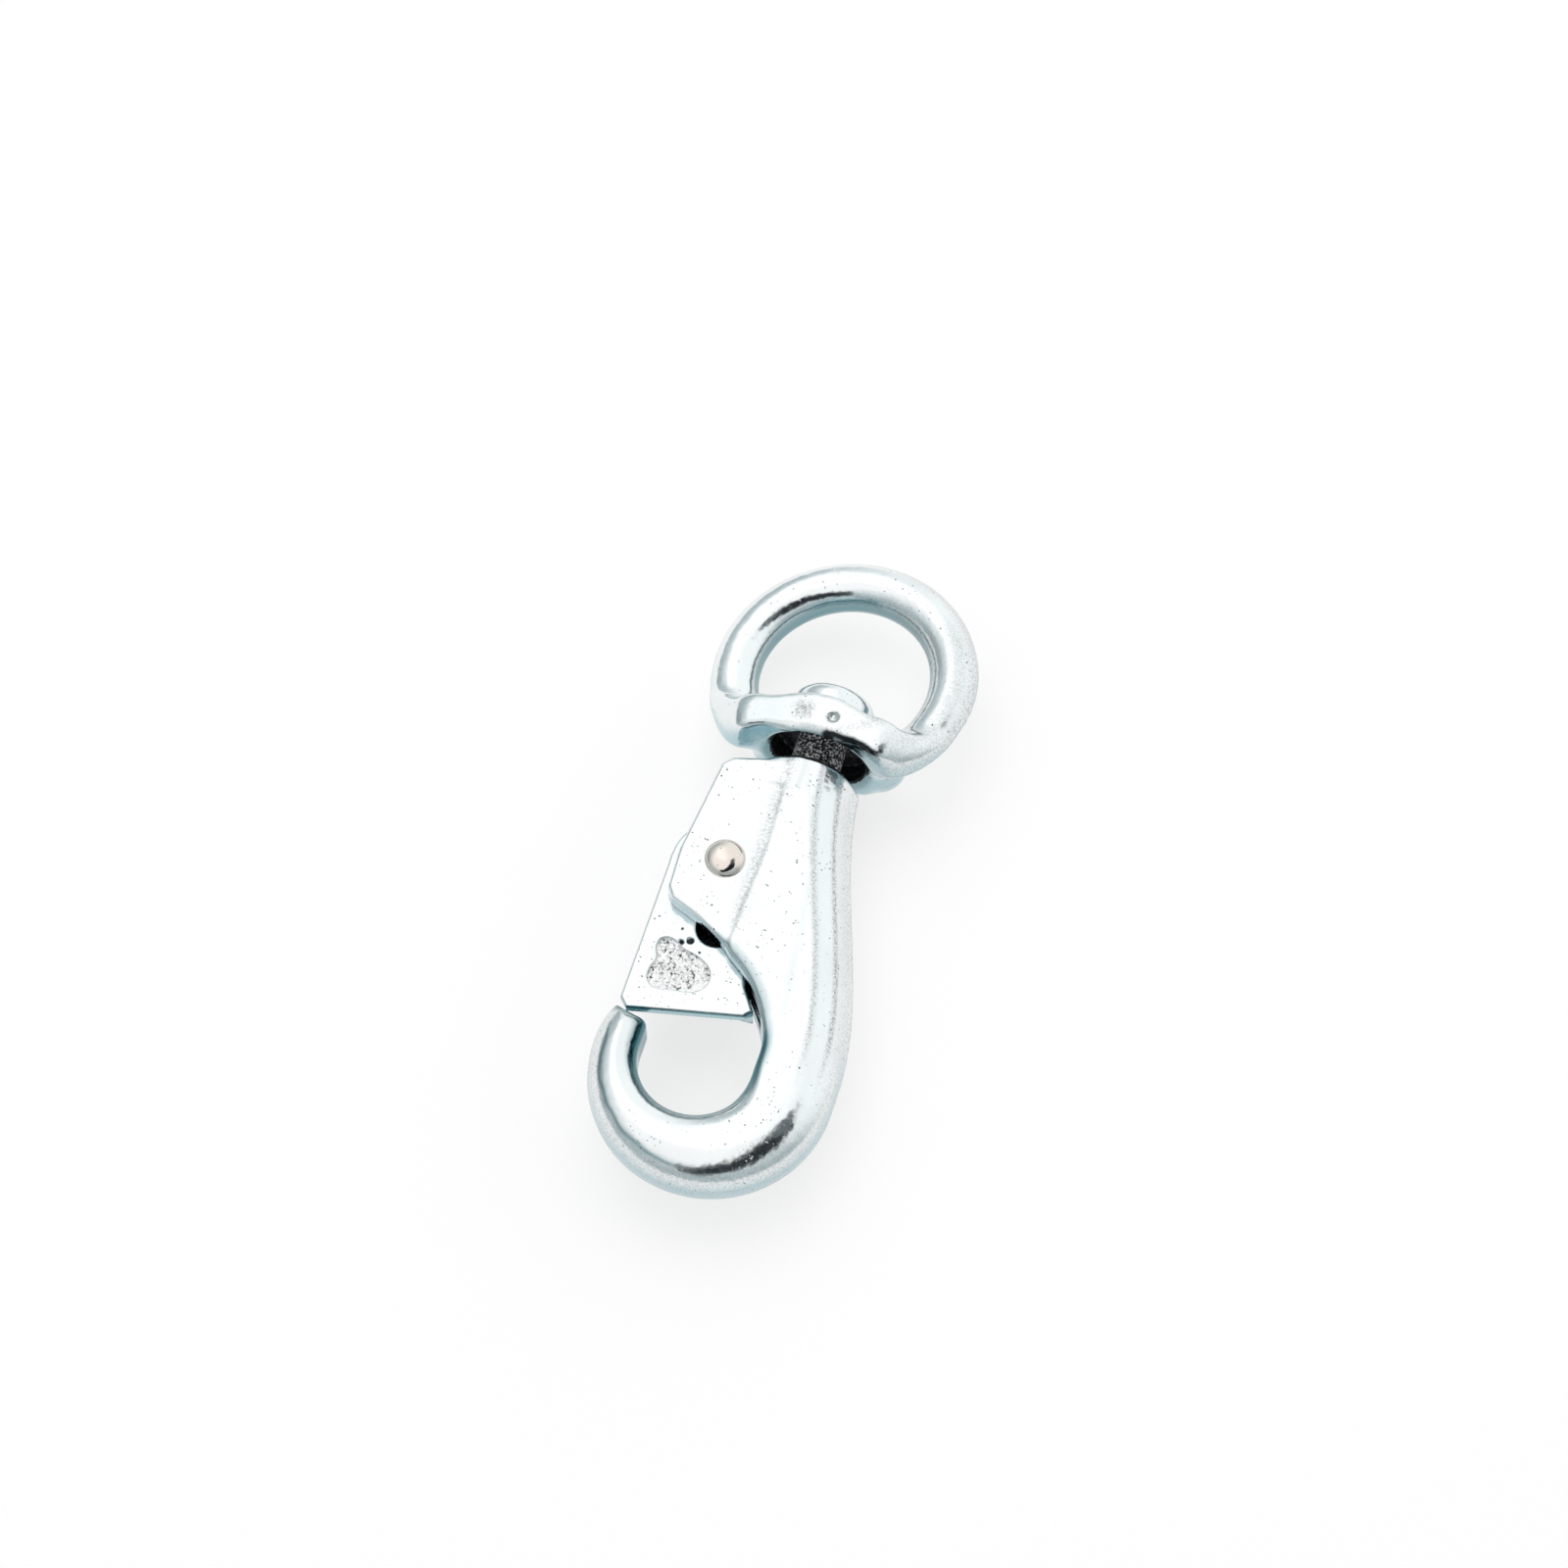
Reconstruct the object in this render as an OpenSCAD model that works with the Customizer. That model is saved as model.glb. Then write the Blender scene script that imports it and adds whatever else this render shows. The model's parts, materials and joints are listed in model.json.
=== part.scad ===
// Swivel snap hook: round swivel eye, headed stud, slotted hook body, sprung gate.
// Lies flat: +Z up, +Y along the swivel axis towards the eye, gate and tip on the -X side.

/* [Eye] */
// Mean radius of the round ring
ring_r = 18; // [12:0.5:30]
// Radius of the ring's round bar
ring_bar_r = 4; // [2.5:0.1:7]
// Height of the ring's centre above the top of the hook body
ring_y = 16.3; // [12:0.1:28]
// How far the eye is turned about the swivel axis at rest, in degrees
eye_turn = 8; // [-15:1:15]
// Underside of the eye's boss, above the body
boss_y0 = 1.2; // [0.6:0.1:3]
// Upper face of the eye's boss, where the stud head seats
boss_y1 = 8.7; // [6:0.1:12]
// Half thickness of the boss
boss_half = 9.5; // [7:0.1:14]
// Half width of the boss's flat facets
boss_flat = 10.5; // [7:0.1:14]
// Radius of the hollow in the boss's underside
cup_r = 8.4; // [6:0.1:12]
// Depth of that hollow
cup_depth = 4; // [2:0.1:6]

/* [Stud] */
// Radius of the swivel stud
stud_r = 4.1; // [3:0.1:6]
// Radius of the stud's button head
head_r = 6.8; // [5:0.1:10]
// Thickness of the button head
head_h = 4.1; // [2.5:0.1:6]
// How deep the stud's tail sits in the hook body
tail = 12; // [8:0.5:13]
// Radial clearance of the eye on the stud
swivel_gap = 0.1; // [0.05:0.01:0.1]

/* [Hook] */
// Half thickness of the column and the bowl
body_half = 6.4; // [5:0.1:9]
// Half thickness across the two cheeks
cheek_half = 6; // [4.5:0.1:8.5]
// Outer radius of the bowl
bowl_r = 19.25; // [15:0.05:26]
// Radius of the bowl's opening
seat_r = 8.9; // [7:0.1:13]
// Rounding of the outer edges
edge_r = 4.6; // [2:0.1:5.5]
// Rounding of the edges round the opening
seat_edge_r = 3.4; // [1:0.1:4.5]
// Half width of the slot between the cheeks
slot_half = 3.1; // [2:0.05:4]

/* [Gate] */
// Half thickness of the gate
gate_half = 2.9; // [1.8:0.05:3.8]
// Radius of the gate's round top about its rivet
gate_top_r = 8.8; // [6:0.1:10]
// Length of the gate from the rivet to its lower corner
gate_reach = 28.2; // [24:0.1:30]
// Inward opening angle of the gate, in degrees
gate_open = 28; // [15:1:28]
// Radius of the rivet's shank
rivet_r = 2; // [1.5:0.1:3]
// Radius of the rivet's domed heads
rivet_head_r = 3.25; // [2.5:0.05:5]
// Height of the rivet's domed heads
rivet_head_h = 1.9; // [1:0.1:3]
// Radius of the round hole in the gate
gate_hole_r = 3.1; // [2:0.1:4]

/* [Spring] */
// Radius of the spring wire
wire_r = 0.4; // [0.3:0.05:0.5]
// Mean radius of the coil
coil_r = 3.3; // [3:0.1:3.6]
// Rise of the coil in one turn
coil_pitch = 0.9; // [0.85:0.05:1]

/* [Hidden] */
$fn = 64;
// Middle of the whole length and the resting height of the swivel axis
pivot = [-7.8, -22.5];
bowl_c = [0.75, -56];
heel_c = [2.2, -53.5];
heel_r = 17.9;
seat_c = [-2.4, -55];
arc_c = [-6.6, -48.3];
arc_r = 13.8;
tip_r = gate_reach + 0.5;
shank_lean = 12.95;
mid_y = (bowl_r - bowl_c[1] - ring_y - ring_r - ring_bar_r) / 2;
lift = boss_half * cos(eye_turn) + boss_flat * abs(sin(eye_turn));
steel = [0.80, 0.83, 0.85];
dark = [0.30, 0.31, 0.32];
nickel = [0.82, 0.78, 0.74];
turns = 2.75;
coil_z = 0.1;

module place() { translate([0, mid_y, lift]) children(); }

// Flat round plate with a rounded rim
module rimmed(r, h, e) {
  rotate_extrude() {
    translate([0, -h]) square([r - e, 2 * h]);
    translate([0, -h + e]) square([r, 2 * (h - e)]);
    for (s = [-1, 1]) translate([r - e, s * (h - e)]) intersection() {
      circle(e);
      translate([0, -e]) square([e, 2 * e]);
    }
  }
}

// Tool that cuts a round opening with rounded edges
module flared(r, h, e) {
  rotate_extrude() difference() {
    translate([0, -h - 1]) square([r + e, 2 * h + 2]);
    for (s = [-1, 1]) translate([r + e, s * (h - e)]) circle(e);
    translate([r, -h + e]) square([e + 1, 2 * (h - e)]);
  }
}

// Cheek and column seen from the front
module cheek_plan() {
  difference() {
    union() {
      polygon([[1, -1.2], [-6.1, -3.6], [-12.1, -6], [-14.6, -10.6], [-15.5, -28.3], [-13.5, -30.8],
        [-9.1, -32], [-4.1, -34.4], [2, -42], [8, -50], [14, -50], [11, -20], [7, -1.2]]);
      translate([-12.1, -8.5]) circle(2.5);
      translate([-13.2, -28.3]) circle(2.3);
    }
    translate(arc_c) circle(arc_r);
  }
}

// Leaning column with rounded outer edges
module column() {
  w = 13.4;
  h = body_half + 0.2;
  translate([8.26, 0, 0]) rotate([0, 0, shank_lean]) rotate([90, 0, 0])
    translate([0, 0, 1]) linear_extrude(50) {
      translate([-w, -h]) square([w - edge_r, 2 * h]);
      translate([-w, -h + edge_r]) square([w, 2 * (h - edge_r)]);
      for (s = [-1, 1]) translate([-edge_r, s * (h - edge_r)]) circle(edge_r);
    }
}

// Flat-sided round shoulder that carries the stud
module shoulder() {
  intersection() {
    translate([0, -13, 0]) rotate([-90, 0, 0]) rotate_extrude() {
      square([8.3, 11.2]);
      square([6.5, 13]);
      translate([6.5, 11.2]) intersection() { circle(1.8); square(1.8); }
    }
    cube([20, 40, 2 * body_half + 0.8], center = true);
  }
}

// Space the gate swings in, seen from the front, about the rivet
module slot_plan() {
  circle(gate_top_r + 0.5);
  intersection() {
    circle(26.1);
    for (a = [0, gate_open / 4, gate_open / 2, gate_open * 3 / 4, gate_open + 0.5]) rotate(a)
      polygon([[-30, 0], [9.3, 0], [9.2, -14.5], [12.2, -21], [12.2, -30], [-30, -30]]);
  }
}

module hook_body() {
  place() color(steel) difference() {
    union() {
      difference() {
        union() {
          translate([bowl_c[0], bowl_c[1], 0]) rimmed(bowl_r, body_half, edge_r);
          translate([heel_c[0], heel_c[1], 0]) rimmed(heel_r, body_half, edge_r);
        }
        // the tip ends just outside the sweep of the gate's corner
        translate([pivot[0], pivot[1], -10]) cylinder(r = tip_r, h = 20);
      }
      difference() {
        union() {
          translate([0, 0, -cheek_half]) linear_extrude(2 * cheek_half) cheek_plan();
          column();
        }
        translate([arc_c[0], arc_c[1], 0]) flared(arc_r - 0.6, body_half + 0.2, 1.2);
      }
      shoulder();
    }
    translate([seat_c[0], seat_c[1], 0]) flared(seat_r, body_half, seat_edge_r);
    // slot for the gate
    translate([pivot[0], pivot[1], -slot_half]) linear_extrude(2 * slot_half) slot_plan();
    // rivet bore, stud bore, seat of the spring's fixed leg
    translate([pivot[0], pivot[1], -12]) cylinder(r = rivet_r, h = 24);
    translate([0, -tail, 0]) rotate([-90, 0, 0]) cylinder(r = stud_r, h = 20);
    translate([pivot[0] + 7, pivot[1] - coil_r, coil_z - turns * coil_pitch]) rotate([0, 90, 0])
      cylinder(r = wire_r + 0.2, h = 4.2);
  }
}

module swivel_stud() {
  place() color(steel) rotate([-90, 0, 0]) rotate_extrude() {
    translate([0, -tail]) square([stud_r, tail + boss_y1 + 1]);
    translate([0, boss_y1 + 0.08]) {
      square([head_r - 2.2, head_h]);
      translate([0, 0.5]) square([head_r, head_h - 2.7]);
      translate([head_r - 2.2, head_h - 2.2]) intersection() { circle(2.2); square(2.2); }
      translate([head_r - 2.2, 0]) square([1.7, 1]);
      translate([head_r - 0.5, 0.5]) circle(0.5);
    }
  }
}

module boss_front() {
  polygon([[-17, 3], [-12.5, boss_y0], [12.5, boss_y0], [17, 3], [17.2, 5.4], [13, 7.3],
    [7.2, boss_y1], [-7.2, boss_y1], [-13, 7.3], [-17.2, 5.4]]);
}

module boss_plan() {
  polygon([[-17.2, -3.4], [-boss_flat, -boss_half], [boss_flat, -boss_half], [17.2, -3.4], [17.2, 3.4],
    [boss_flat, boss_half], [-boss_flat, boss_half], [-17.2, 3.4]]);
}

module swivel_eye() {
  place() rotate([0, -eye_turn, 0]) color(steel) difference() {
    union() {
      translate([0, ring_y, 0]) rotate([0, 0, -38.5]) rotate_extrude(angle = 257)
        translate([ring_r, 0]) circle(ring_bar_r);
      intersection() {
        translate([0, 0, -12]) linear_extrude(24) boss_front();
        rotate([-90, 0, 0]) linear_extrude(20) boss_plan();
      }
    }
    translate([0, boss_y0 - 1, 0]) rotate([-90, 0, 0]) cylinder(r = cup_r, h = cup_depth + 1);
    rotate([-90, 0, 0]) cylinder(r = stud_r + swivel_gap, h = 20);
  }
}

module gate_plan() {
  circle(gate_top_r);
  polygon([[-gate_top_r, 0], [-gate_top_r, -25.7], [-7.4, -27.2], [10.4, -23.4], [11.6, -22.2],
    [9.2, -18.6], [8.0, -15], [gate_top_r, 0]]);
}

// Where the spring's fixed leg passes as the gate turns round it
module window_plan() {
  r = 12;
  c = cos(gate_open);
  t = sin(gate_open);
  low = -coil_r - 0.8;
  polygon([[0, -coil_r + 0.8], [r, -coil_r + 0.8], [r * c + low * t, low * c - r * t], [low * t, low * c]]);
}

module gate() {
  place() translate([pivot[0], pivot[1], 0]) color(steel) difference() {
    translate([0, 0, -gate_half]) linear_extrude(2 * gate_half) gate_plan();
    translate([0, 0, -5]) cylinder(r = rivet_r + 0.06, h = 10);
    translate([1.9, -10.5, -1.6]) cylinder(r = gate_hole_r, h = 8);
    // pocket for the coil with a groove for its moving leg, window for its fixed leg
    translate([0, 0, -gate_half - 1]) linear_extrude(4.6) {
      circle(coil_r + wire_r + 0.5);
      translate([coil_r - wire_r - 0.2, -9.4]) square([2 * wire_r + 0.4, 9.4]);
    }
    translate([0, 0, -gate_half - 2]) linear_extrude(3.3) window_plan();
    // shallow cast recess on the front face
    translate([0, 0, gate_half - 0.5]) linear_extrude(2) {
      translate([-1.9, -19.3]) circle(3.3);
      translate([-4.2, -16.6]) circle(2);
      translate([0.6, -20]) circle(2.6);
    }
  }
}

module gate_rivet() {
  place() translate([pivot[0], pivot[1], 0]) color(nickel) {
    cylinder(r = rivet_r, h = 2 * cheek_half + 0.4, center = true);
    rs = (rivet_head_r * rivet_head_r + rivet_head_h * rivet_head_h) / (2 * rivet_head_h);
    for (s = [0, 1]) mirror([0, 0, s]) translate([0, 0, cheek_half]) rotate_extrude() intersection() {
      translate([0, rivet_head_h - rs]) circle(rs);
      square([rivet_head_r + 1, rivet_head_h]);
    }
  }
}

// Path of the spring wire: moving leg, coil, fixed leg
steps = 24;
count = round(turns * steps);
function coil_at(i) = [coil_r * cos(360 * i / steps), coil_r * sin(360 * i / steps),
  coil_z - coil_pitch * i / steps];
spring_path = concat([[coil_r, -9.2, coil_z], [coil_r, -4, coil_z]], [for (i = [0:count]) coil_at(i)],
  [[6, -coil_r, coil_z - turns * coil_pitch], [10.4, -coil_r, coil_z - turns * coil_pitch]]);
last = len(spring_path) - 1;
sides = 10;
function flat_dir(i) = let (a = spring_path[max(0, i - 1)], b = spring_path[min(last, i + 1)],
  d = [b[0] - a[0], b[1] - a[1]], l = norm(d)) [d[1] / l, -d[0] / l, 0];

module gate_spring() {
  place() translate([pivot[0], pivot[1], 0]) color(dark) polyhedron(
    points = [for (i = [0:last]) for (k = [0:sides - 1])
      spring_path[i] + wire_r * (cos(360 * k / sides) * flat_dir(i) + sin(360 * k / sides) * [0, 0, 1])],
    faces = concat([[for (k = [0:sides - 1]) k]],
      [for (i = [0:last - 1]) for (k = [0:sides - 1]) [i * sides + k, (i + 1) * sides + k,
        (i + 1) * sides + (k + 1) % sides, i * sides + (k + 1) % sides]],
      [[for (k = [sides - 1:-1:0]) last * sides + k]]));
}

hook_body();
swivel_stud();
swivel_eye();
gate();
gate_rivet();
gate_spring();
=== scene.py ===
"""Looks of the swivel snap hook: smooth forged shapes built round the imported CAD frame.

Shapes are distance fields in millimetres, in the hook's own frame: x = 0 on the swivel axis, y = 0 at
the top of the hook body, z = 0 on the swivel axis. Each field becomes a mesh in the row frame.
"""

import json
import math

import bpy
import numpy as np
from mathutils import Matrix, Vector


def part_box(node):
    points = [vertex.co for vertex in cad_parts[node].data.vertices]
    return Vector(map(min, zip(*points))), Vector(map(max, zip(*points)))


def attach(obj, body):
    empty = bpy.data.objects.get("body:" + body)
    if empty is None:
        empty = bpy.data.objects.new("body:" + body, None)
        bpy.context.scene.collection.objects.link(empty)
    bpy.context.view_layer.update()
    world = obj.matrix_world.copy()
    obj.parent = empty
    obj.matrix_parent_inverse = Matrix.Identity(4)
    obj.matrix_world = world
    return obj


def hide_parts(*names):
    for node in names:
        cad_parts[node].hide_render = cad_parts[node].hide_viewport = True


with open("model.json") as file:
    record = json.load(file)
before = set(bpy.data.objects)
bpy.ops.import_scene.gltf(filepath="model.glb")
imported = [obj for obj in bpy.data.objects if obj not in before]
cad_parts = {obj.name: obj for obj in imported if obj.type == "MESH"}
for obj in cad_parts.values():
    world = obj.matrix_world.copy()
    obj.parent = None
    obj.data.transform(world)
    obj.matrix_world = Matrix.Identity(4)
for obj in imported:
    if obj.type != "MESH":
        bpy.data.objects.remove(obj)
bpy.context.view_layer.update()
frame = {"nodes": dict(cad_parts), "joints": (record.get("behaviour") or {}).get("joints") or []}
joints = {joint["name"]: joint for joint in frame["joints"]}

# --- Places that come from the frame --------------------------------------------------------------
MM = 0.001
swivel = Vector(joints["eye_swivel"]["pos_m"])
hinge = Vector(joints["gate_hinge"]["pos_m"])
origin = Vector((swivel.x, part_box("hook_body")[1].y, swivel.z))
pivot = np.array((hinge - origin)[:2]) / MM
opening = joints["gate_hinge"]["range_deg"][1]


def hook_box(name):
    """Low and high corners of a CAD node's box, in hook-frame millimetres."""
    return [np.array(corner - origin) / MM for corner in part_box(name)]


eye_low, eye_high = hook_box("swivel_eye")
body_low, body_high = hook_box("hook_body")
gate_low, gate_high = hook_box("gate")

# --- Driving dimensions, in millimetres -----------------------------------------------------------
mesh_step = 0.32                              # grid of the large pieces
fine_step = 0.16                              # grid of the gate, which has the small relief
grid_half, grid_top = 7, 0.2                  # half depth of the body's grid, and its upper end
droop_room = 4                                # room in the eye's grid under its CAD box

bar_r = 4.0                                   # round bar of the eye
ring_r = 18.0                                 # mean radius of the eye
ring_y = eye_high[1] - ring_r - bar_r
eye_turn = math.radians(8)                    # rest angle of the eye about the swivel axis
boss_low, boss_top = 1.2, 8.7                 # underside and upper face of the boss
boss_half = 9.5                               # half thickness of the boss
boss_end = 12.1                               # half width of the boss's flat faces
cup_r, cup_depth = 8.4, 4.0                   # hollow in the boss's underside
dent_c, dent_r = (2.9, 4.6), 0.75             # ring-shaped dent on the boss's front face
scuff_c = (-2.0, 4.9)                         # rubbed patch beside it

stud_r, head_r, head_h = 4.1, 6.8, 4.1
stud_play = 0.1                               # gap round the stud in the eye
head_gap = 0.08                               # gap between the boss and the stud's head
head_round, head_low_round = 2.4, 0.4         # rounding of the head's top and bottom edges
stud_tail, stud_chamfer = 12.0, 0.3           # depth of the stud in the body, and its end

body_half = 6.4                               # half thickness of column and bowl
cheek_half = 6.0
slot_half = 3.1
column_half = 8.35                            # the column's right side at its top
column_spread, column_length = 11.65, 52.0    # how much it widens, and over what length
bevel_inner, bevel_outer = 6.0, 2.8           # where its two bevels start, inside the outer edge
bevel_drop = 1.9                              # how much lower the outer one starts
crease_x = -2.9                               # left edge of the raised column
neck_r = 8.3                                  # round shoulder under the eye
bowl_c, bowl_r = (0.75, -56.0), 19.2
heel_c, heel_r = (2.2, -53.5), 17.8
bowl_round = 5.4                              # rounding of the bowl's outer edge
seat_c, seat_r = (-2.1, -54.9), 9.1
seat_round, seat_extra = 1.0, 3.4             # rounding beside the gate, and what the bowl adds
arc_c, arc_r = (-11.9, -54.2), 19.3           # inner edge of the body beside the gate
tip_reach = 28.7                              # the tip's end is an arc about the rivet
CHEEKS = [(0, -3.2), (-7.4, -3.6), (-12.0, -4.9), (-13.5, -6.3), (-15.3, -22.7), (-15.0, -29.4),
          (-13.8, -31.2), (-8.9, -33.2), (-3.2, -36.6), (0.5, -39.6), (6, -46), (9, -46), (6, -20)]

# About the rivet, at rest: the gate's outline, and the slot's outline that it turns in.
gate_half = 2.9
gate_top_r = 8.8
GATE = [(-gate_top_r, 0), (-gate_top_r, -25.7), (-7.4, -27.2), (10.4, -23.4), (11.6, -22.2),
        (9.2, -18.6), (8.0, -15), (gate_top_r, 0)]
SLOT = [(-30, 0), (9.3, 0), (9.2, -14.5), (12.2, -21), (12.2, -30), (-30, -30)]
slot_reach = 26.1
hole_c, hole_r, hole_depth = pivot + (1.9, -10.5), 3.1, 4.5
rivet_r, rivet_head_r, rivet_head_h = 2.0, 3.25, 1.9
rivet_play = 0.06                             # gap round the rivet in the gate
overswing, swing_gap = 0.5, 0.5               # degrees, and the gap round the gate's round top

# Room for the spring: in the gate's back, then in the slot's back wall.
coil_room_r, coil_front = 4.2, 0.7            # pocket of the coil, and how far forward it goes
groove_x, groove_half, groove_end = 3.3, 0.6, -9.4
window_reach, window_top, window_low, window_front = 12.0, -2.5, -4.1, -1.6
leg_reach, leg_sweep, leg_front = 11.3, 4.2, -1.5

# The lobed hollow on the gate's face: its main lobe, then the lobes blended into it.
recess_depth = 0.55
RECESS = [((-9.6, -41.3), 3.3), ((-12.3, -38.2), 1.6), ((-11.9, -43.4), 1.8), ((-6.9, -41.7), 2.6)]
GATE_PITS = [((-10.4, -36.8), 0.5), ((-9.1, -36.2), 0.62), ((-7.1, -37.7), 0.25),
             ((-10.9, -34.6), 0.25)]


# --- Distance-field helpers -----------------------------------------------------------------------
def blend_in(a, b, k):
    """Union of two fields with a fillet of about k."""
    h = np.maximum(k - np.abs(a - b), 0) / k
    return np.minimum(a, b) - h * h * k / 4


def blend_cut(a, b, k):
    """Intersection of two fields with an edge softened over about k."""
    return -blend_in(-a, -b, k)


def meet(a, b, r):
    """Intersection of two fields with a round edge of radius r."""
    return np.minimum(np.maximum(a, b), -r) + np.hypot(np.maximum(a + r, 0), np.maximum(b + r, 0))


def disc(x, y, centre, r):
    """Distance to a circle, negative inside."""
    return np.hypot(x - centre[0], y - centre[1]) - r


def ball(x, y, z, centre, r):
    """Distance to a sphere, negative inside."""
    return np.sqrt((x - centre[0]) ** 2 + (y - centre[1]) ** 2 + (z - centre[2]) ** 2) - r


def outline(x, y, points):
    """Exact distance to a closed polygon, negative inside."""
    points = np.asarray(points, float)
    best = np.full(np.broadcast(x, y).shape, 1e9)
    inside = np.zeros(best.shape, bool)
    for (ax, ay), (bx, by) in zip(points, np.roll(points, -1, 0)):
        ex, ey = bx - ax, by - ay
        along = np.clip(((x - ax) * ex + (y - ay) * ey) / (ex * ex + ey * ey), 0, 1)
        best = np.minimum(best, np.hypot(x - ax - along * ex, y - ay - along * ey))
        crosses = (ay > y) != (by > y)
        with np.errstate(divide="ignore", invalid="ignore"):
            inside ^= crosses & (x < ax + (y - ay) * ex / ey)
    return np.where(inside, -best, best)


def ease(t):
    """Smooth step from 0 at t = 0 to 1 at t = 1."""
    t = np.clip(t, 0, 1)
    return t * t * (3 - 2 * t)


def below(y, start, length):
    """Nothing down to the height start, then rising to 1 over the given length downwards."""
    return ease((start - y) / length)


def band(distance, width):
    """One on a line, falling to nothing about a width away from it."""
    return np.exp(-(distance / width) ** 2)


CORNERS = [(i, j, k) for i in (0, 1) for j in (0, 1) for k in (0, 1)]
LATTICE_SIZE = 32
lattice = np.random.default_rng(11).random((LATTICE_SIZE,) * 3) * 2 - 1


def rough(x, y, z, size):
    """Smooth noise between -1 and 1 with lumps of the given size in millimetres."""
    cells = [np.floor(v / size).astype(int) for v in (x, y, z)]
    parts = [ease(v / size - cell) for v, cell in zip((x, y, z), cells)]
    total = 0
    for shift in CORNERS:
        weight = 1
        for d, part in zip(shift, parts):
            weight = weight * (part if d else 1 - part)
        i, j, k = ((cell + d) % LATTICE_SIZE for cell, d in zip(cells, shift))
        total = total + weight * lattice[i, j, k]
    return total


# --- Meshing --------------------------------------------------------------------------------------
def surface(field, low, high, step):
    """Points and quads of the field's zero surface, by surface nets settled onto the field."""
    axes = [np.arange(a - 1.5 * step, b + 2.5 * step, step) for a, b in zip(low, high)]
    x, y, z = np.meshgrid(*axes, indexing="ij", sparse=True)
    values = np.broadcast_to(field(x, y, z), [len(axis) for axis in axes])
    solid = values < 0
    cells = tuple(n - 1 for n in solid.shape)
    count = np.zeros(cells, np.int8)
    for i, j, k in CORNERS:
        count += solid[i:i + cells[0], j:j + cells[1], k:k + cells[2]]
    active = np.argwhere((count > 0) & (count < 8))
    index = np.full(cells, -1)
    index[tuple(active.T)] = np.arange(len(active))
    start = np.array([axis[0] for axis in axes])
    points = start + (active + net_offsets(values, active)) * step
    return settle(field, points, step), net_quads(solid, index)


def net_offsets(values, active):
    """Place of each cell's point in its cell: the mean of the crossings on the cell's edges."""
    corner = np.stack([values[tuple((active + c).T)] for c in CORNERS], 1)
    total, hits = np.zeros((len(active), 3)), np.zeros(len(active))
    for a, ca in enumerate(CORNERS):
        for b, cb in enumerate(CORNERS):
            if b > a and sum(abs(p - q) for p, q in zip(ca, cb)) == 1:
                va, vb = corner[:, a], corner[:, b]
                cut = (va < 0) != (vb < 0)
                t = np.where(cut, va / np.where(cut, va - vb, 1), 0)[:, None]
                crossing = np.array(ca) * (1 - t) + np.array(cb) * t
                total += np.where(cut[:, None], crossing, 0)
                hits += cut
    return total / hits[:, None]


def net_quads(solid, index):
    """One quad round every grid edge that leaves or enters the solid."""
    quads = []
    for axis in range(3):
        u, v = (axis + 1) % 3, (axis + 2) % 3
        first = np.take(solid, range(solid.shape[axis] - 1), axis)
        second = np.take(solid, range(1, solid.shape[axis]), axis)
        for flip, mask in ((False, first & ~second), (True, ~first & second)):
            at = np.argwhere(mask)
            inner = (at[:, u] > 0) & (at[:, v] > 0)
            inner &= (at[:, u] < index.shape[u]) & (at[:, v] < index.shape[v])
            at = at[inner]
            ring = []
            for du, dv in ((-1, -1), (0, -1), (0, 0), (-1, 0)):
                cell = at.copy()
                cell[:, u] += du
                cell[:, v] += dv
                ring.append(index[tuple(cell.T)])
            quads.append(np.stack(ring[::-1] if flip else ring, 1))
    return np.concatenate(quads)


def settle(field, points, step, rounds=3):
    """Moves points onto the field's zero surface along its slope."""
    h = step * 0.2
    for _ in range(rounds):
        value = field(*points.T)
        rises = [field(*(points + d).T) - field(*(points - d).T) for d in np.eye(3) * h]
        slope = np.stack(rises, 1) / (2 * h)
        move = slope * (value / np.maximum((slope ** 2).sum(1), 0.1))[:, None]
        points = points - np.clip(move, -0.5 * step, 0.5 * step)
    return points


def to_row(points):
    """Hook-frame millimetres to metres in the row frame."""
    return np.asarray(points) * MM + np.array(origin)


def piece(name, points, faces, material):
    """A smooth-shaded mesh object in the row frame."""
    mesh = bpy.data.meshes.new(name)
    mesh.from_pydata(to_row(points).tolist(), [], np.asarray(faces).tolist())
    mesh.update()
    mesh.shade_smooth()
    mesh.materials.append(material)
    obj = bpy.data.objects.new(name, mesh)
    bpy.context.scene.collection.objects.link(obj)
    return obj


def mark(made, name, values):
    """Stores a number per point for the plating to read: wear for rubbed places, painted shade for
    deep corners and dark edge reflections, and a painted black reflection streak.
    """
    attribute = made.data.attributes.new(name, "FLOAT", "POINT")
    attribute.data.foreach_set("value", np.asarray(values, np.float32))


def lathe(profile, steps):
    """Points and quads of a profile of (radius, height) turned about the y axis."""
    turns = np.arange(steps) * 2 * math.pi / steps
    points = [(r * math.cos(a), h, r * math.sin(a)) for r, h in profile for a in turns]
    faces = []
    for i in range(len(profile) - 1):
        for k in range(steps):
            a, b = i * steps + k, i * steps + (k + 1) % steps
            faces.append((a, b, b + steps, a + steps))
    return points, faces


# --- The hook body --------------------------------------------------------------------------------
def body_outline(x, y):
    """Distance to the hook's outer edge: the column's right side, then the heel and the bowl."""
    bowl = disc(x, y, bowl_c, bowl_r)
    heel = disc(x, y, heel_c, heel_r)
    column = (x - column_half - column_spread * below(y, 0, column_length)) * 0.96
    return np.where(y > heel_c[1], np.where(x < -5, bowl, column), np.minimum(bowl, heel))


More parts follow.
